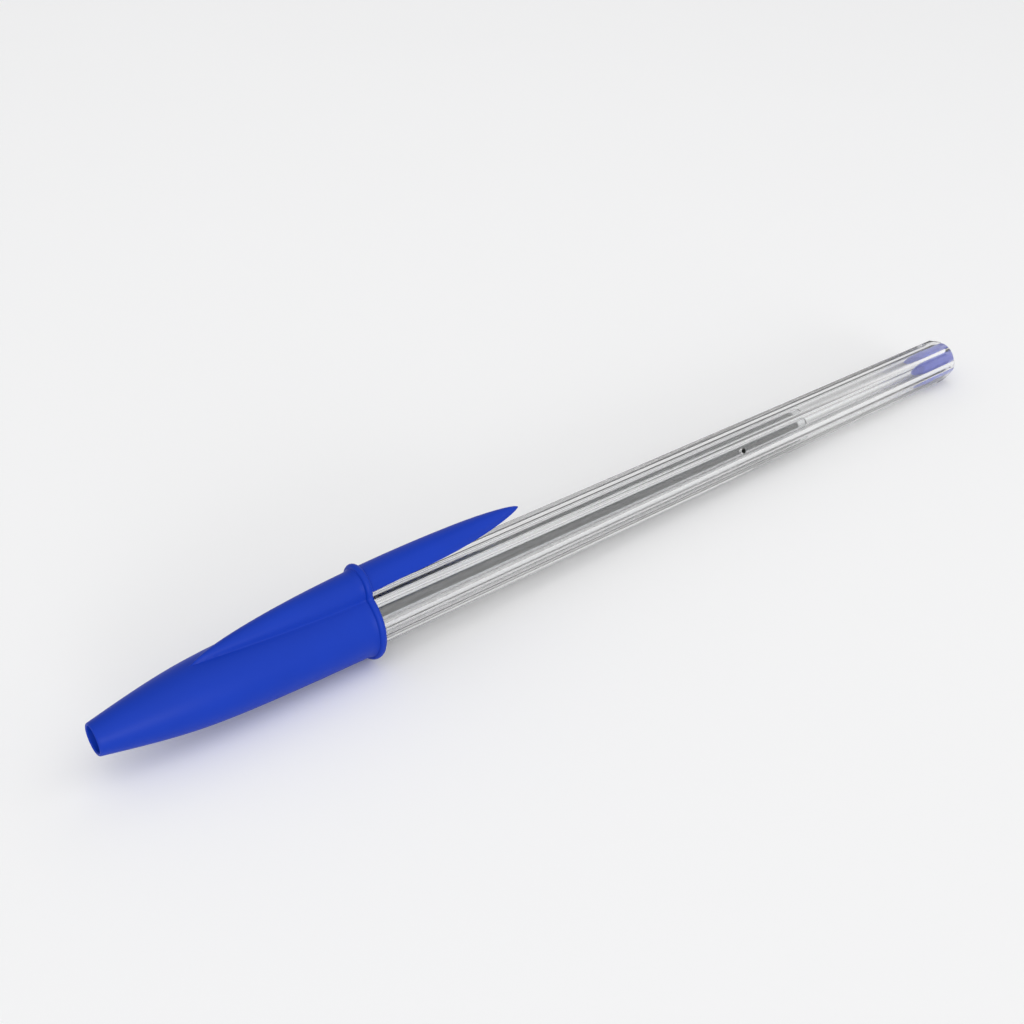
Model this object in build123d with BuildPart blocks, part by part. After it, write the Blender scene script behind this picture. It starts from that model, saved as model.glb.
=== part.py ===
from build123d import *
from math import cos, pi, radians, sqrt

# A stick ballpoint pen: a clear six-sided barrel with a plug in its tail, a pushed-in nose cone
# that holds the ink tube and the brass point, and a push-on cap with a flange and a pocket clip.
# Sizes are in millimetres. Stations along the pen are measured from the open nose of the cap,
# and heights and radii from the pen's axis.

# Barrel
barrel_length = 128.0
barrel_flats = 6.4
barrel_edge_radius = 0.5
barrel_bore_radius = 2.35
tail_chamfer_length = 1.4
tail_chamfer_depth = 0.87
breather_radius = 0.4
breather_from_tail = 55.4

# Tail plug
plug_length = 7.2
plug_lead_in = 1.0
plug_set_back = 0.1

# Nose cone, ink tube and writing point
cone_length = 11.0
cone_back_radius = 3.0
cone_front_radius = 1.5
spigot_length = 8.0
tube_socket_depth = 6.0
tube_radius = 1.6
tube_bore_radius = 1.0
tube_length = 86.5
tube_headspace = 1.5
feed_radius = 0.5
point_shank_radius = 1.1
point_shank_length = 5.0
point_tip_length = 2.7
point_tip_radius = 0.62
point_feed_radius = 0.3
ball_radius = 0.5
ball_show = 0.25

# Cap body
cap_seat = 22.0
cap_mouth = 31.75
cap_nose_radius = 1.76
cap_shoulder = 9.5
cap_shoulder_radius = 3.49
cap_waist = 18.0
cap_waist_radius = 4.06
cap_mouth_radius = 4.31
cap_wall = 0.7
nose_hole_radius = 1.5
nose_land = 2.0
seat_ledge = 0.3

# Cap flange
flange_thickness = 0.85
flange_overhang = 0.55
flange_round = 0.4

# Spine and pocket clip
spine_start = 11.0
clip_end = 55.0
clip_half_width = 2.05
clip_crest = 6.94
clip_crest_station = 45.0
clip_rise_station = 40.0
clip_tip_height = 5.97
clip_gap = 1.48
clip_skin = 0.8
clip_fullness = 0.8
spine_fullness = 0.56
clip_section_count = 12

# Clearances
cap_fit = 0.05
seat_gap = 0.1
ball_fit = 0.02
ink_gap = 0.02

# Worked out from the sizes above
corner_radius = (barrel_flats / 2 - barrel_edge_radius) / cos(radians(30)) + barrel_edge_radius
cap_bore_radius = corner_radius + cap_fit
flange_radius = cap_mouth_radius + flange_overhang
pen_length = cap_seat + barrel_length
cone_front = cap_seat - cone_length
tube_front = cap_seat + spigot_length - tube_socket_depth
clip_underside = barrel_flats / 2 + clip_gap
clip_middle = (spine_start + clip_end) / 2
clip_half_length = (clip_end - spine_start) / 2
rise_run = clip_end - clip_rise_station
rise = clip_tip_height - clip_underside

# The origin is under the middle of the pen, level with the lowest point of the flange
nose_x = -pen_length / 2
axis_z = flange_radius
pen_axis = Axis((0, 0, axis_z), (1, 0, 0))
side_plane = Plane(origin=(nose_x, 0, axis_z), x_dir=(1, 0, 0), z_dir=(0, -1, 0))


def cross_plane(station):
    """Plane across the pen, looking along it, with its local y pointing up."""
    return Plane(origin=(nose_x + station, 0, axis_z), x_dir=(0, 1, 0), z_dir=(1, 0, 0))


def clip_width(station):
    """Half the width of the spine and clip, a lens shape that is widest at the middle."""
    offset = (station - clip_middle) / clip_half_length
    return clip_half_width * (1 - offset**2) ** clip_fullness


def clip_height(station):
    """Height of the crest, two arcs that meet level at the crest station."""
    if station < clip_crest_station:
        run = (clip_crest_station - station) / (clip_crest_station - spine_start)
        return cap_shoulder_radius + (clip_crest - cap_shoulder_radius) * (1 - run**2) ** spine_fullness
    run = (station - clip_crest_station) / (clip_end - clip_crest_station)
    return clip_tip_height + (clip_crest - clip_tip_height) * sqrt(1 - run**2)


def clip_section(station, inset=0.0):
    """Round-topped section of the spine and clip, reaching down to the pen's axis."""
    half = clip_width(station) - inset
    spring = clip_height(station) - inset - half
    with BuildSketch(cross_plane(station)) as section:
        with BuildLine():
            Line((half, 0), (half, spring))
            CenterArc((0, spring), half, 0, 90)
            CenterArc((0, spring), half, 90, 90)
            Line((-half, spring), (-half, 0))
            Line((-half, 0), (half, 0))
        make_face()
    return section.sketch


def lens_stations(first, last, count):
    """Stations closer together at both ends, where the lens shape turns fastest."""
    middle = (first + last) / 2
    half = (last - first) / 2
    return [middle - half * cos(pi * index / (count - 1)) for index in range(count)]


# Flange of the cap: one rim round the body and the spine
flange_middle = cap_mouth - flange_thickness / 2
with BuildPart() as flange:
    with BuildSketch(cross_plane(cap_mouth - flange_thickness)):
        Circle(flange_radius)
        rim_half = clip_width(flange_middle) + flange_overhang
        rim_spring = clip_height(flange_middle) - clip_width(flange_middle)
        with Locations((0, rim_spring / 2)):
            Rectangle(2 * rim_half, rim_spring)
        with Locations((0, rim_spring)):
            Circle(rim_half)
    extrude(amount=flange_thickness)
    fillet(flange.faces().filter_by(Axis.X).edges(), flange_round)

# Cap: tapered body, spine, flange and clip in one moulding, open at the nose
tip_inset = 0.01 * clip_half_length
with BuildPart() as cap:
    with BuildSketch(side_plane):
        with BuildLine():
            Line((0, 0), (0, cap_nose_radius))
            Spline(
                (0, cap_nose_radius),
                (cap_shoulder, cap_shoulder_radius),
                (cap_waist, cap_waist_radius),
                (cap_mouth, cap_mouth_radius),
            )
            Line((cap_mouth, cap_mouth_radius), (cap_mouth, 0))
            Line((cap_mouth, 0), (0, 0))
        make_face()
    revolve(axis=pen_axis)
    outer_stations = lens_stations(spine_start + tip_inset, clip_end - tip_inset, clip_section_count)
    loft(sections=[clip_section(station) for station in outer_stations])
    add(flange.part)
    # Gap under the clip, with the tip curving up out of the way
    with BuildSketch(side_plane):
        with BuildLine():
            Line((cap_mouth, -cap_mouth_radius), (cap_mouth, clip_underside))
            Line((cap_mouth, clip_underside), (clip_rise_station, clip_underside))
            Bezier(
                (clip_rise_station, clip_underside),
                (clip_rise_station + 0.4 * rise_run, clip_underside),
                (clip_end - 0.23 * rise_run, clip_underside + 0.33 * rise),
                (clip_end, clip_tip_height),
            )
            Line((clip_end, clip_tip_height), (clip_end, -cap_mouth_radius))
            Line((clip_end, -cap_mouth_radius), (cap_mouth, -cap_mouth_radius))
        make_face()
    extrude(amount=2 * clip_half_width, both=True, mode=Mode.SUBTRACT)
    # Channel that keeps the clip's skin even, open to the barrel
    channel_stations = lens_stations(cap_mouth, clip_crest_station, clip_section_count // 2)
    loft(sections=[clip_section(station, clip_skin) for station in channel_stations], mode=Mode.SUBTRACT)
    # Inside of the cap: nose hole, tapered hollow, ledge and bore for the barrel
    with BuildSketch(side_plane):
        with BuildLine():
            Polyline(
                (0, 0),
                (0, nose_hole_radius),
                (nose_land, nose_hole_radius),
                (cap_shoulder, cap_shoulder_radius - cap_wall),
                (cap_seat - seat_gap, cap_bore_radius - seat_ledge),
                (cap_seat - seat_gap, cap_bore_radius),
                (cap_mouth, cap_bore_radius),
                (cap_mouth, 0),
                close=True,
            )
        make_face()
    revolve(axis=pen_axis, mode=Mode.SUBTRACT)
cap.part.label = "cap"
export_step(cap.part, "parts/cap.step")

# Barrel: clear tube with six flats, one of them underneath, and a breather hole in a side flat
with BuildPart() as barrel:
    with BuildSketch(cross_plane(cap_seat)):
        RegularPolygon(barrel_flats / 2, 6, major_radius=False)
        Circle(barrel_bore_radius, mode=Mode.SUBTRACT)
    extrude(amount=barrel_length)
    long_edges = barrel.edges().filter_by(Axis.X).sort_by_distance(pen_axis.position)
    fillet(long_edges.filter_by(GeomType.LINE)[-6:], barrel_edge_radius)
    # Sloped ends of the flats at the tail
    with BuildSketch(side_plane):
        with BuildLine():
            Polyline(
                (pen_length, corner_radius - tail_chamfer_depth),
                (pen_length, 2 * corner_radius),
                (pen_length - tail_chamfer_length, 2 * corner_radius),
                (pen_length - tail_chamfer_length, corner_radius),
                close=True,
            )
        make_face()
    revolve(axis=pen_axis, mode=Mode.SUBTRACT)
    breather_axis = (0, -cos(radians(30)), 0.5)
    breather_origin = (nose_x + pen_length - breather_from_tail, 0, axis_z)
    with BuildSketch(Plane(origin=breather_origin, x_dir=(1, 0, 0), z_dir=breather_axis)):
        Circle(breather_radius)
    extrude(amount=barrel_flats, mode=Mode.SUBTRACT)
barrel.part.label = "barrel"
export_step(barrel.part, "parts/barrel.step")

# Plug pressed into the tail of the barrel
with BuildPart() as end_plug:
    plug_end = pen_length - plug_set_back
    with BuildSketch(side_plane):
        with BuildLine():
            Polyline(
                (plug_end - plug_length, 0),
                (plug_end - plug_length, barrel_bore_radius - plug_lead_in),
                (plug_end - plug_length + plug_lead_in, barrel_bore_radius),
                (plug_end, barrel_bore_radius),
                (plug_end, 0),
                close=True,
            )
        make_face()
    revolve(axis=pen_axis)
end_plug.part.label = "end_plug"
export_step(end_plug.part, "parts/end_plug.step")

# Nose cone: spigot in the barrel, socket for the ink tube, hole for the point
with BuildPart() as nose_cone:
    with BuildSketch(side_plane):
        with BuildLine():
            Polyline(
                (cone_front, point_shank_radius),
                (cone_front, cone_front_radius),
                (cap_seat, cone_back_radius),
                (cap_seat, barrel_bore_radius),
                (cap_seat + spigot_length, barrel_bore_radius),
                (cap_seat + spigot_length, tube_radius),
                (tube_front, tube_radius),
                (tube_front, feed_radius),
                (cone_front + point_shank_length, feed_radius),
                (cone_front + point_shank_length, point_shank_radius),
                close=True,
            )
        make_face()
    revolve(axis=pen_axis)
nose_cone.part.label = "nose_cone"
export_step(nose_cone.part, "parts/nose_cone.step")

# Ink tube pushed into the back of the nose cone
with BuildPart() as ink_tube:
    with BuildSketch(cross_plane(tube_front)):
        Circle(tube_radius)
        Circle(tube_bore_radius, mode=Mode.SUBTRACT)
    extrude(amount=tube_length)
ink_tube.part.label = "ink_tube"
export_step(ink_tube.part, "parts/ink_tube.step")

# Ink that fills the tube and the feed through the nose cone
with BuildPart() as ink_column:
    ink_end = tube_front + tube_length - tube_headspace
    with BuildSketch(side_plane):
        with BuildLine():
            Polyline(
                (cone_front + point_shank_length + ink_gap, 0),
                (cone_front + point_shank_length + ink_gap, feed_radius - ink_gap),
                (tube_front, feed_radius - ink_gap),
                (tube_front, tube_bore_radius - ink_gap),
                (ink_end, tube_bore_radius - ink_gap),
                (ink_end, 0),
                close=True,
            )
        make_face()
    revolve(axis=pen_axis)
ink_column.part.label = "ink_column"
export_step(ink_column.part, "parts/ink_column.step")

# Brass point: shank in the nose cone, tapered tip and the cup that holds the ball
tip_front = cone_front - point_tip_length
ball_station = tip_front + ball_show
with BuildPart() as point_socket:
    with BuildSketch(side_plane):
        with BuildLine():
            Polyline(
                (tip_front, 0),
                (tip_front, point_tip_radius),
                (cone_front, point_shank_radius),
                (cone_front + point_shank_length, point_shank_radius),
                (cone_front + point_shank_length, point_feed_radius),
                (ball_station, point_feed_radius),
                (ball_station, 0),
                close=True,
            )
        make_face()
    revolve(axis=pen_axis)
    with Locations((nose_x + ball_station, 0, axis_z)):
        Sphere(ball_radius + ball_fit, mode=Mode.SUBTRACT)
point_socket.part.label = "point_socket"
export_step(point_socket.part, "parts/point_socket.step")

# Writing ball, free to roll in the cup
with BuildPart() as point_ball:
    with Locations((nose_x + ball_station, 0, axis_z)):
        Sphere(ball_radius)
point_ball.part.label = "point_ball"
export_step(point_ball.part, "parts/point_ball.step")
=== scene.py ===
"""Stick ballpoint pen with a clear six-sided barrel and a blue cap.

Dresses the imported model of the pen: every piece is built where its CAD node lies, in metres,
with the pen's axis along X, the cap's nose at the low end and the clip on top.
"""

import math

import bmesh
import bpy
from bpy.props import FloatProperty, FloatVectorProperty, PointerProperty
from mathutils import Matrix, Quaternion, Vector


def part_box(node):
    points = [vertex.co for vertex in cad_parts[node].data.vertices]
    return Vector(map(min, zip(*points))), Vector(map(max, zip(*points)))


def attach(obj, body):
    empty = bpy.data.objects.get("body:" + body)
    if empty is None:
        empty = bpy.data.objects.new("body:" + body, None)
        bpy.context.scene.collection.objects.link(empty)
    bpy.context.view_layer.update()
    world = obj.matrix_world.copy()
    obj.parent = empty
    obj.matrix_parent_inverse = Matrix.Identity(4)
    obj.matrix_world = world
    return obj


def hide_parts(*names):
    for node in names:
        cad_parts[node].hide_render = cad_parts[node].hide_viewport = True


bl_info = {
    "name": "Stick ballpoint pen",
    "version": (1, 0, 0),
    "blender": (4, 5, 0),
    "location": "View3D > Sidebar > Pen",
    "description": "Builds a capped stick ballpoint pen over its CAD frame",
    "category": "Add Mesh",
}

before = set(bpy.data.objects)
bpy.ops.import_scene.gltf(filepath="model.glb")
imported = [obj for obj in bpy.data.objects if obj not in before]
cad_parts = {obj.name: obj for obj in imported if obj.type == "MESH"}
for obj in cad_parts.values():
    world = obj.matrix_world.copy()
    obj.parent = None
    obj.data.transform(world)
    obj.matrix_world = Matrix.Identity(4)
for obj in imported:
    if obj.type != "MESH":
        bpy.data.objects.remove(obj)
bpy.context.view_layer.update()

CAP_LOW, CAP_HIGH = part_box("cap")
BARREL_LOW, BARREL_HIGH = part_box("barrel")
PLUG_LOW, PLUG_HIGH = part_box("end_plug")
CONE_LOW, CONE_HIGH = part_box("nose_cone")
TUBE_LOW, TUBE_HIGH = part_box("ink_tube")
INK_LOW, INK_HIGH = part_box("ink_column")
POINT_LOW, POINT_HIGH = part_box("point_socket")
BALL_LOW, BALL_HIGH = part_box("point_ball")

AXIS_HEIGHT = (BARREL_LOW.z + BARREL_HIGH.z) / 2
NOSE = CAP_LOW.x
TURNED_SEGMENTS = 96


def length(name, description, default):
    """A size in metres that a user would change."""
    return FloatProperty(name=name, description=description, default=default, min=0.0,
                         unit="LENGTH", precision=5)


def colour(name, description, default):
    """A colour, in linear values, that a user would change."""
    return FloatVectorProperty(name=name, description=description, default=default, size=3,
                               min=0.0, max=1.0, subtype="COLOR")


class PenBarrelSettings(bpy.types.PropertyGroup):
    """Sizes and colour of the clear barrel."""

    edge_radius: length("Edge radius", "Rounding of the six long edges", 0.0005)
    bore_radius: length("Bore radius", "Radius of the hole along the barrel", PLUG_HIGH.y)
    slope_length: length("Slope length", "Length of the sloped ends of the flats at the tail", 0.0014)
    slope_depth: length("Slope depth", "How far the slope comes in from the edges", 0.00087)
    breather_from_tail: length("Breather from tail", "Distance of the air hole from the tail", 0.0554)
    breather_radius: length("Breather radius", "Radius of the air hole in one flat", 0.0004)
    tint: colour("Tint", "Colour of the clear plastic", (0.985, 0.988, 0.99))


class PenCapSettings(bpy.types.PropertyGroup):
    """Sizes and colour of the cap and its clip."""

    nose_radius: length("Nose radius", "Outer radius at the open nose", 0.00176)
    shoulder_station: length("Shoulder station", "Where the nose's taper turns", 0.0095)
    shoulder_radius: length("Shoulder radius", "Outer radius there", 0.00349)
    waist_station: length("Waist station", "Where the body becomes nearly straight", 0.018)
    waist_radius: length("Waist radius", "Outer radius there", 0.00406)
    mouth_station: length("Mouth station", "Length of the body from nose to mouth", 0.03175)
    mouth_radius: length("Mouth radius", "Outer radius at the mouth, without the flange", 0.00431)
    wall: length("Wall", "Thickness of the wall at the shoulder", 0.0007)
    vent_radius: length("Vent radius", "Radius of the hole in the nose", 0.0015)
    vent_length: length("Vent length", "Straight length of that hole", 0.002)
    ledge: length("Ledge", "Step that the barrel's end stops at", 0.0003)
    bore_fit: length("Bore fit", "Room round the barrel's edges", 0.00005)
    seat_gap: length("Seat gap", "Room between the ledge and the barrel's end", 0.0001)
    flange_thickness: length("Flange thickness", "Length of the flange at the mouth", 0.00085)
    flange_overhang: length("Flange overhang", "How far the flange stands out", 0.00055)
    flange_round: length("Flange rounding", "Rounding of the flange's edges", 0.0004)
    flange_flare: length("Flange flare", "Length of the hollow sweep into the flange", 0.0008)
    spine_station: length("Spine station", "Where the spine leaves the body", 0.011)
    clip_width: length("Clip half width", "Half of the clip's greatest width", 0.00205)
    clip_crest: length("Clip crest", "Greatest height of the clip above the axis", 0.00694)
    clip_crest_station: length("Crest station", "Where the clip is highest", 0.045)
    clip_rise_station: length("Rise station", "Where the clip's underside starts to rise to the tip", 0.04)
    clip_tip_height: length("Tip height", "Height of the clip's tip above the axis", 0.00597)
    clip_gap: length("Clip gap", "Slot between the clip and the barrel", 0.00148)
    clip_skin: length("Clip skin", "Thickness of the clip's hollow underside", 0.0008)
    crease: length("Crease", "Softness of the crease beside the spine", 0.0002)
    tint: colour("Blue", "Colour of the cap", (0.002, 0.032, 0.37))


class PenInsideSettings(bpy.types.PropertyGroup):
    """Sizes and colours of what the barrel holds."""

    plug_lead: length("Plug lead-in", "Length of the slope at the plug's inner end", 0.001)
    tube_bore: length("Tube bore", "Inner radius of the ink tube", 0.001)
    feed_bore: length("Feed bore", "Radius of the passage to the point", 0.0005)
    feed_ink: length("Feed ink", "Radius of the ink in that passage", 0.00048)
    tube_socket: length("Tube socket", "Depth to which the cone takes the tube", 0.006)
    point_bore: length("Point bore", "Radius of the passage in the brass point", 0.0003)
    point_shank: length("Point shank", "Length of the point inside the cone", 0.005)
    point_lip: length("Point lip", "Radius of the point's lip round the ball", 0.00062)
    cup_radius: length("Cup radius", "Radius of the cup that holds the ball", 0.00052)
    fit: length("Fit", "Air between pieces that touch, so that both surfaces show", 0.00001)
    plug_tint: colour("Plug", "Colour of the plug in the tail", (0.2, 0.24, 0.95))
    cone_tint: colour("Cone", "Colour of the nose cone", (0.002, 0.032, 0.37))
    tube_tint: colour("Tube", "Colour of the ink tube", (0.93, 0.94, 0.95))
    ink_tint: colour("Ink", "Colour of the ink as the tube shows it", (0.095, 0.095, 0.1))
    brass_tint: colour("Brass", "Colour of the point", (0.72, 0.52, 0.24))


class PenStageSettings(bpy.types.PropertyGroup):
    """The camera, the floor that the pen lies on and the walls that light it."""

    camera_place: FloatVectorProperty(name="Camera place", description="Where the camera stands", size=3,
                                      default=(-0.09885, -0.09155, 0.07959), subtype="XYZ", unit="LENGTH")
    camera_aim: FloatVectorProperty(name="Camera aim", description="The point in the middle of the view",
                                    size=3, default=(-0.01476, 0.00759, 0.00476), subtype="XYZ",
                                    unit="LENGTH")
    camera_roll: FloatProperty(name="Camera roll", description="Tilt of the camera about its view",
                               default=-0.00132, subtype="ANGLE")
    lens: FloatProperty(name="Lens", description="Focal length in millimetres", default=40.0, min=1.0)
    floor_tint: colour("Floor", "Colour of the floor", (0.93, 0.93, 0.935))
    floor_size: length("Floor size", "Width of the floor", 4.0)
    wall_glow: FloatProperty(name="Wall glow", description="Brightness of the walls all round", default=0.715,
                             min=0.0)
    wall_rise: FloatProperty(name="Wall rise", description="How much brighter the ceiling is", default=0.58)
    wall_contrast: FloatProperty(name="Wall contrast", description="How much the far side is darker",
                                 default=0.18, min=0.0)
    tail_card: FloatVectorProperty(name="Tail card", description="Where the card past the tail stands",
                                   size=3, default=(0.6, 0.1, 0.79), subtype="DIRECTION")
    tail_card_reach: FloatProperty(name="Tail card reach", description="Half the angle that it covers",
                                   default=math.radians(20.5), min=0.0, subtype="ANGLE")
    tail_card_depth: FloatProperty(name="Tail card depth", description="How much it holds back", default=0.9,
                                   min=0.0, max=1.0, subtype="FACTOR")
    back_card: FloatVectorProperty(name="Back card", description="Where the card behind the pen stands",
                                   size=3, default=(-0.2, 0.65, 0.73), subtype="DIRECTION")
    back_card_reach: FloatProperty(name="Back card reach", description="Half the angle that it covers",
                                   default=math.radians(50), min=0.0, subtype="ANGLE")
    back_card_depth: FloatProperty(name="Back card depth", description="How much it holds back", default=0.4,
                                   min=0.0, max=1.0, subtype="FACTOR")


class Wire:
    """One output socket of a node tree; arithmetic on it adds Math nodes."""

    def __init__(self, tree, socket=None):
        self.tree = tree
        self.socket = socket

    def node(self, kind, settings=None, inputs=None, output=0):
        """Adds a node, sets it up, feeds its sockets and returns one of its outputs."""
        made = self.tree.nodes.new(kind)
        for name, value in (settings or {}).items():
            setattr(made, name, value)
        for key, value in (inputs or {}).items():
            for each in value if isinstance(value, list) else [value]:
                if isinstance(each, Wire):
                    self.tree.links.new(each.socket, made.inputs[key])
                else:
                    made.inputs[key].default_value = each
        return Wire(self.tree, made.outputs[output])

    def sum(self, operation, first, second):
        """Adds a Math node."""
        return self.node("ShaderNodeMath", {"operation": operation}, {0: first, 1: second})

    def __add__(self, other):
        return self.sum("ADD", self, other)

    def __radd__(self, other):
        return self.sum("ADD", other, self)

    def __sub__(self, other):
        return self.sum("SUBTRACT", self, other)

    def __rsub__(self, other):
        return self.sum("SUBTRACT", other, self)

    def __mul__(self, other):
        return self.sum("MULTIPLY", self, other)

    def __rmul__(self, other):
        return self.sum("MULTIPLY", other, self)

    def __truediv__(self, other):
        return self.sum("DIVIDE", self, other)

    def __rtruediv__(self, other):
        return self.sum("DIVIDE", other, self)


def start_finish(name):
    """A new material with its shader; gives the material, the shader and the piece's own coordinates."""
    finish = bpy.data.materials.new(name)
    finish.use_nodes = True
    shader = finish.node_tree.nodes["Principled BSDF"]
    place = Wire(finish.node_tree).node("ShaderNodeTexCoord", output="Object")
    return finish, shader, place


def feed(shader, **sockets):
    """Sets or links sockets of a shader; underscores in the names stand for spaces."""
    for name, value in sockets.items():
        socket = shader.inputs[name.replace("_", " ")]
        if isinstance(value, Wire):
            value.tree.links.new(value.socket, socket)
        else:
            socket.default_value = value


def stretched(place, scale):
    """Coordinates scaled for a pattern."""
    return place.node("ShaderNodeMapping", inputs={"Vector": place, "Scale": scale})


def grain(place, scale, detail=2.0):
    """Noise between 0 and 1 at a scale per metre."""
    return place.node("ShaderNodeTexNoise", inputs={"Vector": place, "Scale": scale, "Detail": detail})


def two_tones(mask, low, high):
    """A colour between two tones."""
    return mask.node("ShaderNodeMix", {"data_type": "RGBA"}, {0: mask, 6: (*low, 1.0), 7: (*high, 1.0)},
                     output=2)


def relief(height, strength, depth):
    """A bump from a height between 0 and 1, of a depth in metres."""
    return height.node("ShaderNodeBump", inputs={"Strength": strength, "Distance": depth, "Height": height})


def shaded(tint, factor):
    """A tint made lighter or darker."""
    return tuple(min(1.0, value * factor) for value in tint)


def moulded_blue(name, tint):
    """Opaque blue plastic with a satin moulded face."""
    finish, shader, place = start_finish(name)
    cloud = grain(place, 160.0)
    fine = grain(place, 5200.0)
    feed(shader, Base_Color=two_tones(cloud, shaded(tint, 0.94), shaded(tint, 1.06)),
         Roughness=0.4 + 0.06 * cloud + 0.05 * fine,
         Normal=relief(fine, 0.12, 0.00002), IOR=1.49, Specular_IOR_Level=0.17)
    return finish


def clear_plastic(name, tint):
    """Clear hard plastic with faint lines drawn along it by the mould."""
    finish, shader, place = start_finish(name)
    drawn = grain(stretched(place, (30.0, 1400.0, 1400.0)), 1.0)
    cloud = grain(place, 220.0)
    feed(shader, Base_Color=two_tones(cloud, shaded(tint, 0.985), tint), Roughness=0.004 + 0.012 * cloud,
         Normal=relief(drawn, 0.004, 0.00001), IOR=1.53, Transmission_Weight=1.0)
    return finish


def tinted_plug(name, tint):
    """Blue plastic that lets some light through."""
    finish, shader, place = start_finish(name)
    cloud = grain(place, 420.0)
    fine = grain(place, 4200.0)
    feed(shader, Base_Color=two_tones(cloud, shaded(tint, 0.9), shaded(tint, 1.1)),
         Roughness=0.25 + 0.1 * fine, Normal=relief(fine, 0.15, 0.00002), IOR=1.5,
         Transmission_Weight=0.35)
    return finish


def milky_tube(name, tint):
    """Thin clear tube, slightly drawn along its length."""
    finish, shader, place = start_finish(name)
    drawn = grain(stretched(place, (40.0, 1800.0, 1800.0)), 1.0)
    feed(shader, Base_Color=two_tones(drawn, shaded(tint, 0.97), tint), Roughness=0.02 + 0.03 * drawn,
         IOR=1.5, Transmission_Weight=1.0)
    return finish


def thick_ink(name, tint):
    """Dark paste with a wet face."""
    finish, shader, place = start_finish(name)
    streak = grain(stretched(place, (60.0, 900.0, 900.0)), 1.0)
    feed(shader, Base_Color=two_tones(streak, shaded(tint, 0.8), shaded(tint, 1.2)),
         Roughness=0.2 + 0.2 * streak, IOR=1.45)
    return finish


def turned_brass(name, tint):
    """Brass with the fine rings that a lathe leaves."""
    finish, shader, place = start_finish(name)
    rings = place.node("ShaderNodeTexWave", {"wave_type": "BANDS", "bands_direction": "X"},
                       {"Vector": place, "Scale": 4200.0, "Distortion": 0.6, "Detail": 1.0})
    cloud = grain(place, 900.0)
    feed(shader, Base_Color=two_tones(cloud, shaded(tint, 0.9), tint), Metallic=1.0,
         Roughness=0.22 + 0.12 * cloud, Normal=relief(rings, 0.2, 0.00001))
    return finish


def polished_ball(name):
    """Hard grey metal, polished, with the faintest scuffs."""
    finish, shader, place = start_finish(name)
    scuff = grain(place, 9000.0, 3.0)
    feed(shader, Base_Color=two_tones(scuff, (0.42, 0.42, 0.44), (0.56, 0.56, 0.58)), Metallic=1.0,
         Roughness=0.08 + 0.14 * scuff)
    return finish


def pale_floor(name, tint):
    """Smooth pale table with a hardly visible mottle."""
    finish, shader, place = start_finish(name)
    cloud = grain(place, 9.0)
    feed(shader, Base_Color=two_tones(cloud, shaded(tint, 0.995), tint), Roughness=0.75 + 0.1 * cloud,
         Specular_IOR_Level=0.1)
    return finish


def new_object(name, mesh):
    """An object at the origin with a mesh, in the scene."""
    made = bpy.data.objects.new(name, mesh)
    bpy.context.scene.collection.objects.link(made)
    return made


def settled(made):
    """Turns an object with modifiers into a plain mesh of the same shape."""
    shape = made.evaluated_get(bpy.context.evaluated_depsgraph_get())
    mesh = bpy.data.meshes.new_from_object(shape, preserve_all_data_layers=True,
                                           depsgraph=bpy.context.evaluated_depsgraph_get())
    made.modifiers.clear()
    made.data = mesh
    mesh.name = made.name
    return made


def smoothed(made, sharp_degrees):
    """Smooth shading with sharp edges past an angle; large faces keep their own direction."""
    made.data.shade_smooth()
    made.data.set_sharp_from_angle(angle=math.radians(sharp_degrees))
    weigh = made.modifiers.new("face_shading", "WEIGHTED_NORMAL")
    weigh.keep_sharp = True
    return settled(made)


def stand_in(made, node, body, finish):
    """Gives a piece its finish and puts it in the place of a CAD node."""
    made.data.materials.clear()
    made.data.materials.append(finish)
    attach(made, body)
    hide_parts(node)


def mesh_from_rings(name, rings, closed):
    """Joins rings of equal count by quads; closed joins the last to the first, else both ends are filled."""
    count = len(rings[0])
    last = len(rings) - 1
    pairs = [(i, i + 1) for i in range(last)] + ([(last, 0)] if closed else [])
    faces = [(near * count + k, near * count + (k + 1) % count,
              far * count + (k + 1) % count, far * count + k)
             for near, far in pairs for k in range(count)]
    if not closed:
        faces.append(tuple(range(count))[::-1])
        faces.append(tuple(last * count + k for k in range(count)))
    mesh = bpy.data.meshes.new(name)
    mesh.from_pydata([point for ring in rings for point in ring], [], faces)
    work = bmesh.new()
    work.from_mesh(mesh)
    bmesh.ops.remove_doubles(work, verts=work.verts, dist=1e-7)
    bmesh.ops.recalc_face_normals(work, faces=work.faces)
    work.to_mesh(mesh)
    work.free()
    return mesh


def eased(corners, radius, closed):
    """A profile whose corners are rounded by short curves."""
    steps = 4
    eased_line = []
    for i, corner in enumerate(corners):
        if not closed and i in (0, len(corners) - 1):
            eased_line.append(corner)
            continue
        here = Vector(corner)
        before = Vector(corners[i - 1]) - here
        after = Vector(corners[(i + 1) % len(corners)]) - here
        reach = min(radius, 0.45 * before.length, 0.45 * after.length)
        start = here + before.normalized() * reach
        end = here + after.normalized() * reach
        for k in range(steps + 1):
            t = k / steps
            eased_line.append(tuple(start * (1 - t) ** 2 + here * (2 * t * (1 - t)) + end * t ** 2))
    return eased_line


def turned(name, profile, closed):
    """A piece turned round the pen's axis from stations and radii."""
    rings = []
    for station, radius in profile:
        rings.append([(station, radius * math.sin(math.tau * k / TURNED_SEGMENTS),
                       AXIS_HEIGHT + radius * math.cos(math.tau * k / TURNED_SEGMENTS))
                      for k in range(TURNED_SEGMENTS)])
    return smoothed(new_object(name, mesh_from_rings(name, rings, closed)), 50.0)


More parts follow.
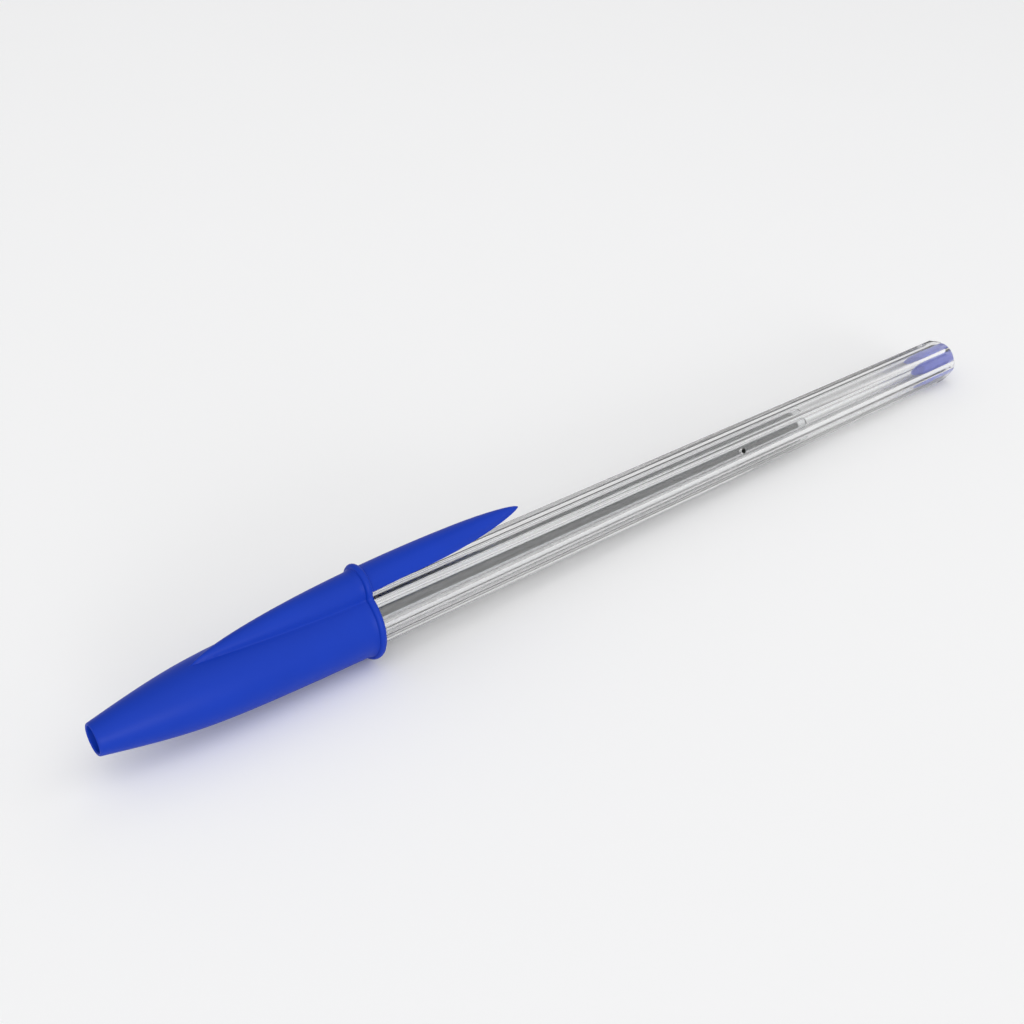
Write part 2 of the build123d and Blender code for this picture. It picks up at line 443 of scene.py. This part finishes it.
def barrel_tree():
    """The rule of the barrel: a rounded hexagon drawn out, cut to the tail's cone, bored and vented."""
    tree = bpy.data.node_groups.new("clear_barrel_shape", "GeometryNodeTree")
    for name in ("Across Flats", "Edge Radius", "Bore Radius", "Front", "Length", "Axis Height",
                 "Slope Length", "Slope Depth", "Breather From Tail", "Breather Radius"):
        tree.interface.new_socket(name=name, in_out="INPUT", socket_type="NodeSocketFloat")
    tree.interface.new_socket(name="Finish", in_out="INPUT", socket_type="NodeSocketMaterial")
    tree.interface.new_socket(name="Geometry", in_out="OUTPUT", socket_type="NodeSocketGeometry")
    wire = Wire(tree)
    given = tree.nodes.new("NodeGroupInput")
    size = {socket.name: Wire(tree, socket) for socket in given.outputs if socket.name}

    def vector(x, y, z):
        return wire.node("ShaderNodeCombineXYZ", inputs={0: x, 1: y, 2: z})

    def moved(shape, place, turn):
        return wire.node("GeometryNodeTransform", inputs={"Geometry": shape, "Translation": place,
                                                          "Rotation": turn})

    def joined(operation, first, second):
        ends = {"Mesh 1": first, "Mesh 2": second} if operation == "DIFFERENCE" else {"Mesh 2": [first, second]}
        return wire.node("GeometryNodeMeshBoolean", {"operation": operation, "solver": "EXACT"}, ends)

    along = (0.0, math.radians(90), 0.0)
    corner = size["Across Flats"] * (0.5 / math.cos(math.radians(30)))
    hexagon = wire.node("GeometryNodeCurvePrimitiveCircle", {"mode": "RADIUS"},
                        {"Resolution": 6, "Radius": corner})
    rounded = wire.node("GeometryNodeFilletCurve", {"mode": "POLY"},
                        {"Curve": hexagon, "Radius": size["Edge Radius"], "Count": 9})
    flat = moved(wire.node("GeometryNodeFillCurve", {"mode": "NGONS"}, {"Curve": rounded}),
                 (0.0, 0.0, 0.0), (0.0, 0.0, math.radians(30)))
    front = moved(flat, vector(size["Front"], 0.0, size["Axis Height"]), along)
    drawn = wire.node("GeometryNodeExtrudeMesh", {"mode": "FACES"},
                      {"Mesh": front, "Offset": vector(size["Length"], 0.0, 0.0), "Offset Scale": 1.0,
                       "Individual": False})
    shut = wire.node("GeometryNodeJoinGeometry",
                     inputs={"Geometry": [drawn, wire.node("GeometryNodeFlipFaces", inputs={"Mesh": front})]})
    prism = wire.node("GeometryNodeMergeByDistance", inputs={"Geometry": shut, "Distance": 1e-6})

    pitch = size["Slope Depth"] / size["Slope Length"]
    cone_length = size["Length"] * 1.05
    tail_radius = corner - size["Edge Radius"] * (1 / math.cos(math.radians(30)) - 1) - size["Slope Depth"]
    cone = wire.node("GeometryNodeMeshCone", {"fill_type": "NGON"},
                     {"Vertices": 192, "Radius Top": tail_radius,
                      "Radius Bottom": tail_radius + pitch * cone_length, "Depth": cone_length})
    tail = size["Front"] + size["Length"]
    sloped = joined("INTERSECT", prism, moved(cone, vector(tail - cone_length, 0.0, size["Axis Height"]), along))

    bore = wire.node("GeometryNodeMeshCylinder", {"fill_type": "NGON"},
                     {"Vertices": 128, "Radius": size["Bore Radius"], "Depth": size["Length"] * 1.1})
    bored = joined("DIFFERENCE", sloped,
                   moved(bore, vector(size["Front"] + size["Length"] * 0.5, 0.0, size["Axis Height"]), along))

    hole = wire.node("GeometryNodeMeshCylinder", {"fill_type": "NGON"},
                     {"Vertices": 32, "Radius": size["Breather Radius"], "Depth": size["Across Flats"] * 0.4})
    out = size["Across Flats"] * 0.5
    hole_place = vector(tail - size["Breather From Tail"], out * -math.cos(math.radians(30)),
                        size["Axis Height"] + out * 0.5)
    vented = joined("DIFFERENCE", bored, moved(hole, hole_place, (math.radians(60), 0.0, 0.0)))

    bend = wire.node("GeometryNodeInputMeshEdgeAngle")
    soft = wire.node("GeometryNodeSetShadeSmooth", {"domain": "FACE"}, {"Geometry": vented, "Shade Smooth": True})
    crisp = wire.node("FunctionNodeCompare", {"data_type": "FLOAT", "operation": "GREATER_THAN"},
                      {0: bend, 1: math.radians(25)})
    edged = wire.node("GeometryNodeSetShadeSmooth", {"domain": "EDGE"},
                      {"Geometry": soft, "Selection": crisp, "Shade Smooth": False})
    plain = wire.node("GeometryNodeRealizeInstances", inputs={"Geometry": edged})
    dressed = wire.node("GeometryNodeSetMaterial", inputs={"Geometry": plain, "Material": size["Finish"]})
    result = tree.nodes.new("NodeGroupOutput")
    tree.links.new(dressed.socket, result.inputs["Geometry"])
    return tree


def natural_curve(points):
    """A smooth curve through points, as a function of the station, straight at both ends."""
    x = [point[0] for point in points]
    y = [point[1] for point in points]
    last = len(points) - 1
    gap = [x[i + 1] - x[i] for i in range(last)]
    carry = [0.0] * (last + 1)
    pull = [0.0] * (last + 1)
    for i in range(1, last):
        weight = 2 * (x[i + 1] - x[i - 1]) - gap[i - 1] * carry[i - 1]
        carry[i] = gap[i] / weight
        bend = 3 * ((y[i + 1] - y[i]) / gap[i] - (y[i] - y[i - 1]) / gap[i - 1])
        pull[i] = (bend - gap[i - 1] * pull[i - 1]) / weight
    curve = [0.0] * (last + 1)
    for i in range(last - 1, 0, -1):
        curve[i] = pull[i] - carry[i] * curve[i + 1]

    def height(station):
        i = max(k for k in range(last) if k == 0 or station >= x[k])
        t = station - x[i]
        slope = (y[i + 1] - y[i]) / gap[i] - gap[i] * (curve[i + 1] + 2 * curve[i]) / 3
        return y[i] + t * (slope + t * (curve[i] + t * (curve[i + 1] - curve[i]) / (3 * gap[i])))

    return height


def smooth_max(first, second, blend):
    """The larger of two radii, with a hollow fillet where they meet."""
    overlap = max(blend - abs(first - second), 0.0)
    return max(first, second) + overlap * overlap / (4 * blend)


def spread(start, end, count):
    """Even steps from start to end, both included."""
    return [start + (end - start) * k / (count - 1) for k in range(count)]


class CapShape:
    """The cap's outlines, as functions of the station from the nose."""

    def __init__(self, sizes):
        self.sizes = sizes
        self.body = natural_curve([(0.0, sizes.nose_radius), (sizes.shoulder_station, sizes.shoulder_radius),
                                   (sizes.waist_station, sizes.waist_radius),
                                   (sizes.mouth_station, sizes.mouth_radius)])
        self.clip_end = CAP_HIGH.x - NOSE
        self.underside = BARREL_HIGH.z - AXIS_HEIGHT + sizes.clip_gap

    def half_width(self, station):
        """Half the width of the spine and clip, widest midway."""
        middle = (self.sizes.spine_station + self.clip_end) / 2
        reach = (self.clip_end - self.sizes.spine_station) / 2
        return self.sizes.clip_width * max(1 - ((station - middle) / reach) ** 2, 0.0) ** 0.8

    def top(self, station):
        """Height of the spine and clip above the axis."""
        sizes = self.sizes
        if station < sizes.clip_crest_station:
            run = (sizes.clip_crest_station - station) / (sizes.clip_crest_station - sizes.spine_station)
            low, fullness = sizes.shoulder_radius, 0.56
        else:
            run = (station - sizes.clip_crest_station) / (self.clip_end - sizes.clip_crest_station)
            low, fullness = sizes.clip_tip_height, 0.5
        return low + (sizes.clip_crest - low) * max(1 - run * run, 0.0) ** fullness

    def bottom(self, station):
        """Height of the clip's underside above the axis."""
        sizes = self.sizes
        run = max((station - sizes.clip_rise_station) / (self.clip_end - sizes.clip_rise_station), 0.0)
        drop = sizes.clip_tip_height - self.underside
        return sizes.clip_tip_height - drop * max(1 - run * run, 0.0) ** 0.75

    def spine_radius(self, station, angle, offset):
        """Distance from the axis to the spine's section, at an angle from the top."""
        half = self.half_width(station) + offset
        centre = self.top(station) + offset - half
        aside, up = abs(math.sin(angle)), math.cos(angle)
        if station <= self.sizes.spine_station or up <= 0.05:
            return 0.0
        if aside * centre < half * up and aside * centre < half:
            return centre * up + math.sqrt(half * half - (centre * aside) ** 2)
        return half / aside

    def outer_radius(self, station, angle, offset):
        """Distance from the axis to the cap's outside, at an angle from the top."""
        return smooth_max(self.body(station) + offset, self.spine_radius(station, angle, offset),
                          self.sizes.crease)


def cap_body_mesh(shape):
    """The cap's hollow body with spine and flange: rings out along the outside and back along the bore."""
    sizes = shape.sizes
    angles = ([math.radians(a) for a in spread(-48.0, 48.0, 145)]
              + [math.radians(a) for a in spread(48.0, 312.0, 90)[1:-1]])
    flange_start = sizes.mouth_station - sizes.flange_thickness
    lip = 0.00012
    outline = [(0.0, -lip), (0.3 * lip, -0.35 * lip)]
    rounding, over = sizes.flange_round, sizes.flange_overhang
    outline += [(station, 0.0) for station in spread(lip, flange_start - sizes.flange_flare, 90)]
    outline += [(flange_start - sizes.flange_flare * (1 - t), (over - rounding) * t * t)
                for t in spread(0.0, 1.0, 8)[1:]]
    turns = [math.radians(a) for a in spread(0.0, 90.0, 6)]
    outline += [(flange_start + rounding * (1 - math.sin(a)), over - rounding * (1 - math.cos(a)))
                for a in reversed(turns)]
    outline += [(sizes.mouth_station - rounding * (1 - math.sin(a)), over - rounding * (1 - math.cos(a)))
                for a in turns]
    rings = []
    for station, offset in outline:
        rings.append([(NOSE + station, r * math.sin(a), AXIS_HEIGHT + r * math.cos(a))
                      for a in angles for r in [shape.outer_radius(station, a, offset)]])
    bore = BARREL_HIGH.y + sizes.bore_fit
    seat = BARREL_LOW.x - NOSE - sizes.seat_gap
    inside = [(sizes.mouth_station, bore + lip), (sizes.mouth_station - lip, bore), (seat, bore),
              (seat, bore - sizes.ledge), (sizes.shoulder_station, sizes.shoulder_radius - sizes.wall),
              (sizes.vent_length, sizes.vent_radius), (lip, sizes.vent_radius)]
    for station, radius in inside:
        rings.append([(NOSE + station, radius * math.sin(a), AXIS_HEIGHT + radius * math.cos(a))
                      for a in angles])
    return mesh_from_rings("cap_body", rings, closed=True)


def clip_mesh(shape):
    """The clip past the mouth: rounded on top, hollow underneath as far as its crest, pointed at the tip."""
    sizes = shape.sizes
    root = sizes.mouth_station - 0.6 * sizes.flange_thickness
    stations = [(root, False), (sizes.mouth_station, False)]
    stations += [(station, True) for station in spread(sizes.mouth_station + 1e-6, sizes.clip_crest_station, 30)]
    stations += [(sizes.clip_crest_station + 1e-6, False)]
    reach = shape.clip_end - sizes.clip_crest_station
    stations += [(sizes.clip_crest_station + reach * math.sin(math.radians(a)), False)
                 for a in spread(4.0, 88.5, 34)]
    arch = [math.radians(a) for a in spread(0.0, 180.0, 33)]
    rings = []
    for station, hollow in stations:
        half = shape.half_width(station)
        spring = shape.top(station) - half
        foot = min(shape.bottom(station), spring - 0.05 * half)
        inner = max(half - sizes.clip_skin, 0.35 * half)
        inner_spring, inner_rise = (spring, inner) if hollow else (foot, 0.0)
        section = [(half, z) for z in spread(foot, spring, 5)[:-1]]
        section += [(half * math.cos(a), spring + half * math.sin(a)) for a in arch]
        section += [(-half, z) for z in spread(spring, foot, 5)[1:]]
        section += [(-inner, z) for z in spread(foot, inner_spring, 5)]
        section += [(inner * math.cos(a), inner_spring + inner_rise * math.sin(a)) for a in arch[-2:0:-1]]
        section += [(inner, z) for z in spread(inner_spring, foot, 5)]
        rings.append([(NOSE + station, y, AXIS_HEIGHT + z) for y, z in section])
    return mesh_from_rings("cap_clip", rings, closed=False)


def cap_mesh(shape):
    """The body and the clip as one closed moulding."""
    body = new_object("cap_moulding", cap_body_mesh(shape))
    clip = new_object("cap_clip", clip_mesh(shape))
    union = body.modifiers.new("join_clip", "BOOLEAN")
    union.operation = "UNION"
    union.solver = "EXACT"
    union.object = clip
    settled(body)
    bpy.data.objects.remove(clip)
    body.data.shade_smooth()
    body.data.set_sharp_from_angle(angle=math.radians(38.0))
    return body


class PEN_OT_barrel(bpy.types.Operator):
    """Builds the clear six-sided barrel with its bore, sloped tail and air hole"""

    bl_idname = "pen.barrel"
    bl_label = "Barrel"

    def execute(self, context):
        sizes = context.scene.pen_barrel
        finish = clear_plastic("barrel_clear_plastic", sizes.tint)
        barrel = new_object("barrel_tube", bpy.data.meshes.new("barrel_tube"))
        shaping = barrel.modifiers.new("barrel_shape", "NODES")
        tree = barrel_tree()
        values = {"Across Flats": BARREL_HIGH.z - BARREL_LOW.z, "Edge Radius": sizes.edge_radius,
                  "Bore Radius": sizes.bore_radius, "Front": BARREL_LOW.x,
                  "Length": BARREL_HIGH.x - BARREL_LOW.x, "Axis Height": AXIS_HEIGHT,
                  "Slope Length": sizes.slope_length, "Slope Depth": sizes.slope_depth,
                  "Breather From Tail": sizes.breather_from_tail, "Breather Radius": sizes.breather_radius,
                  "Finish": finish}
        shaping.node_group = tree
        for socket in tree.interface.items_tree:
            if socket.in_out == "INPUT":
                shaping[socket.identifier] = values[socket.name]
        weigh = barrel.modifiers.new("face_shading", "WEIGHTED_NORMAL")
        weigh.keep_sharp = True
        settled(barrel)
        if not barrel.data.polygons:
            raise RuntimeError("the barrel's tree gave no faces")
        stand_in(barrel, "barrel", "barrel", finish)
        return {"FINISHED"}


class PEN_OT_cap(bpy.types.Operator):
    """Builds the blue cap with its spine, flange and clip"""

    bl_idname = "pen.cap"
    bl_label = "Cap"

    def execute(self, context):
        sizes = context.scene.pen_cap
        cap = cap_mesh(CapShape(sizes))
        stand_in(cap, "cap", "cap", moulded_blue("cap_satin_blue", sizes.tint))
        return {"FINISHED"}


class PEN_OT_end_plug(bpy.types.Operator):
    """Builds the blue plug in the tail of the barrel"""

    bl_idname = "pen.end_plug"
    bl_label = "End plug"

    def execute(self, context):
        sizes = context.scene.pen_inside
        radius = PLUG_HIGH.y - sizes.fit
        lead = sizes.plug_lead
        profile = eased([(PLUG_LOW.x, 0.0001), (PLUG_LOW.x, radius - lead), (PLUG_LOW.x + lead, radius),
                         (PLUG_HIGH.x, radius), (PLUG_HIGH.x, 0.0001)], 0.00025, closed=False)
        plug = turned("tail_plug", profile, closed=False)
        stand_in(plug, "end_plug", "barrel", tinted_plug("plug_tinted_blue", sizes.plug_tint))
        return {"FINISHED"}


class PEN_OT_refill(bpy.types.Operator):
    """Builds the ink tube and the ink that fills it"""

    bl_idname = "pen.refill"
    bl_label = "Ink tube and ink"

    def execute(self, context):
        sizes = context.scene.pen_inside
        outer = TUBE_HIGH.y - sizes.fit
        tube = turned("ink_tube_clear", eased(
            [(TUBE_LOW.x, sizes.tube_bore), (TUBE_LOW.x, outer), (TUBE_HIGH.x, outer),
             (TUBE_HIGH.x, sizes.tube_bore)], 0.00008, closed=True), closed=True)
        stand_in(tube, "ink_tube", "barrel", milky_tube("tube_milky_clear", sizes.tube_tint))
        radius = INK_HIGH.y
        ink = turned("ink_paste", eased(
            [(INK_LOW.x, 0.0001), (INK_LOW.x, sizes.feed_ink), (TUBE_LOW.x, sizes.feed_ink),
             (TUBE_LOW.x, radius), (INK_HIGH.x, radius), (INK_HIGH.x, 0.0001)], 0.0002, closed=False),
            closed=False)
        stand_in(ink, "ink_column", "barrel", thick_ink("ink_dark_paste", sizes.ink_tint))
        return {"FINISHED"}


class PEN_OT_writing_end(bpy.types.Operator):
    """Builds the nose cone and the brass point, and finishes the ball"""

    bl_idname = "pen.writing_end"
    bl_label = "Writing end"

    def execute(self, context):
        sizes = context.scene.pen_inside
        shank_end = CONE_LOW.x + sizes.point_shank
        socket_end = CONE_HIGH.x - sizes.tube_socket
        point_radius = POINT_HIGH.y
        spigot = PLUG_HIGH.y - sizes.fit
        cone = turned("nose_cone_blue", eased(
            [(CONE_LOW.x, point_radius), (CONE_LOW.x, point_radius + 0.0004), (BARREL_LOW.x, CONE_HIGH.y),
             (BARREL_LOW.x, spigot), (CONE_HIGH.x, spigot), (CONE_HIGH.x, TUBE_HIGH.y),
             (socket_end, TUBE_HIGH.y), (socket_end, sizes.feed_bore), (shank_end, sizes.feed_bore),
             (shank_end, point_radius)], 0.00015, closed=True), closed=True)
        stand_in(cone, "nose_cone", "barrel", moulded_blue("cone_satin_blue", sizes.cone_tint))
        ball_place = (BALL_LOW.x + BALL_HIGH.x) / 2
        reach = math.acos(sizes.point_bore / sizes.cup_radius)
        rim = POINT_LOW.x - ball_place
        open_angle = math.acos(rim / sizes.cup_radius)
        cup = [(ball_place + sizes.cup_radius * math.cos(a), sizes.cup_radius * math.sin(a))
               for a in spread(math.radians(90) - reach, open_angle, 9)]
        point = turned("brass_point", cup + [
            (POINT_LOW.x, sizes.point_lip), (CONE_LOW.x, point_radius - sizes.fit),
            (shank_end, point_radius - sizes.fit), (shank_end, sizes.point_bore)], closed=True)
        stand_in(point, "point_socket", "barrel",
                 turned_brass("point_turned_brass", sizes.brass_tint))
        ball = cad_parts["point_ball"]
        ball.material_slots[0].material = polished_ball("ball_polished_metal")
        return {"FINISHED"}


class PEN_OT_stage(bpy.types.Operator):
    """Sets the pen on a pale floor under soft light, with the camera"""

    bl_idname = "pen.stage"
    bl_label = "Stage"

    def execute(self, context):
        stage = context.scene.pen_stage
        half = stage.floor_size / 2
        cap = context.scene.pen_cap
        flange_middle = cap.mouth_station - cap.flange_thickness / 2
        flange_rest = Vector((NOSE + flange_middle, 0.0, CAP_LOW.z))
        tail_rest = Vector((BARREL_HIGH.x - context.scene.pen_barrel.slope_length, 0.0, BARREL_LOW.z))
        rise = (tail_rest.z - flange_rest.z) / (tail_rest.x - flange_rest.x)
        corners = [(x, y, flange_rest.z + rise * (x - flange_rest.x))
                   for x, y in ((-half, -half), (half, -half), (half, half), (-half, half))]
        mesh = bpy.data.meshes.new("floor")
        mesh.from_pydata(corners, [], [(0, 1, 2, 3)])
        floor = new_object("floor", mesh)
        mesh.materials.append(pale_floor("pale_floor", stage.floor_tint))

        self.soft_light("softbox_front", (-0.3, -0.85, 0.16), (-0.02, 0.0, 0.0), 0.7, 0.25, 0.26)
        context.scene.world = self.studio_walls(stage)

        camera = bpy.data.objects.new("camera", bpy.data.cameras.new("camera"))
        context.scene.collection.objects.link(camera)
        camera.data.lens = stage.lens
        camera.data.sensor_width = 36.0
        camera.data.clip_start = 0.005
        place, aim = Vector(stage.camera_place), Vector(stage.camera_aim)
        camera.location = place
        roll = Quaternion((0.0, 0.0, 1.0), stage.camera_roll)
        camera.rotation_euler = ((aim - place).to_track_quat("-Z", "Y") @ roll).to_euler()
        context.scene.camera = camera
        context.scene.view_settings.view_transform = "Standard"
        return {"FINISHED"}

    def studio_walls(self, stage):
        """Pale walls and ceiling, brighter on the camera's side, with two dark cards that shape the light."""
        world = bpy.data.worlds.new("studio")
        world.use_nodes = True
        wire = Wire(world.node_tree)
        direction = wire.node("ShaderNodeTexCoord", output="Generated")
        aside = wire.node("ShaderNodeSeparateXYZ", inputs={0: direction}, output="Y")
        above = wire.node("ShaderNodeSeparateXYZ", inputs={0: direction}, output="Z")
        glow = stage.wall_glow + stage.wall_rise * above - stage.wall_contrast * aside
        for way, reach, depth in ((stage.tail_card, stage.tail_card_reach, stage.tail_card_depth),
                                  (stage.back_card, stage.back_card_reach, stage.back_card_depth)):
            nearness = wire.node("ShaderNodeVectorMath", {"operation": "DOT_PRODUCT"},
                                 {0: direction, 1: Vector(way).normalized()}, output="Value")
            card = wire.node("ShaderNodeMapRange", {"interpolation_type": "SMOOTHSTEP"},
                             {"Value": nearness, "From Min": math.cos(reach),
                              "From Max": math.cos(reach * 0.5)})
            glow = glow * (1 - depth * card)
        wire.tree.links.new(glow.socket, world.node_tree.nodes["Background"].inputs["Color"])
        return world

    def soft_light(self, name, place, aim, width, depth, watts):
        """A rectangular softbox that faces a point, in a narrow beam that leaves the floor near it even."""
        lamp = bpy.data.lights.new(name, "AREA")
        lamp.shape = "RECTANGLE"
        lamp.size = width
        lamp.size_y = depth
        lamp.spread = math.radians(40)
        lamp.energy = watts
        light = bpy.data.objects.new(name, lamp)
        bpy.context.scene.collection.objects.link(light)
        light.location = place
        light.rotation_euler = (Vector(aim) - Vector(place)).to_track_quat("-Z", "Y").to_euler()


class PEN_PT_sidebar(bpy.types.Panel):
    """Lists the pen's pieces and their sizes"""

    bl_label = "Stick ballpoint pen"
    bl_idname = "PEN_PT_sidebar"
    bl_space_type = "VIEW_3D"
    bl_region_type = "UI"
    bl_category = "Pen"

    def draw(self, context):
        for operator in OPERATORS:
            self.layout.operator(operator.bl_idname)
        for group in SETTINGS:
            column = self.layout.column()
            for name in SETTINGS[group].__annotations__:
                column.prop(getattr(context.scene, group), name)


SETTINGS = {"pen_barrel": PenBarrelSettings, "pen_cap": PenCapSettings, "pen_inside": PenInsideSettings,
            "pen_stage": PenStageSettings}
OPERATORS = (PEN_OT_barrel, PEN_OT_cap, PEN_OT_end_plug, PEN_OT_refill, PEN_OT_writing_end, PEN_OT_stage)


def register():
    for each in (*SETTINGS.values(), *OPERATORS, PEN_PT_sidebar):
        bpy.utils.register_class(each)
    for group, settings in SETTINGS.items():
        setattr(bpy.types.Scene, group, PointerProperty(type=settings))


def unregister():
    for group in SETTINGS:
        delattr(bpy.types.Scene, group)
    for each in (PEN_PT_sidebar, *reversed(OPERATORS), *SETTINGS.values()):
        bpy.utils.unregister_class(each)


def main():
    register()
    bpy.ops.pen.barrel()
    bpy.ops.pen.cap()
    bpy.ops.pen.end_plug()
    bpy.ops.pen.refill()
    bpy.ops.pen.writing_end()
    bpy.ops.pen.stage()


if __name__ == "__main__":
    main()
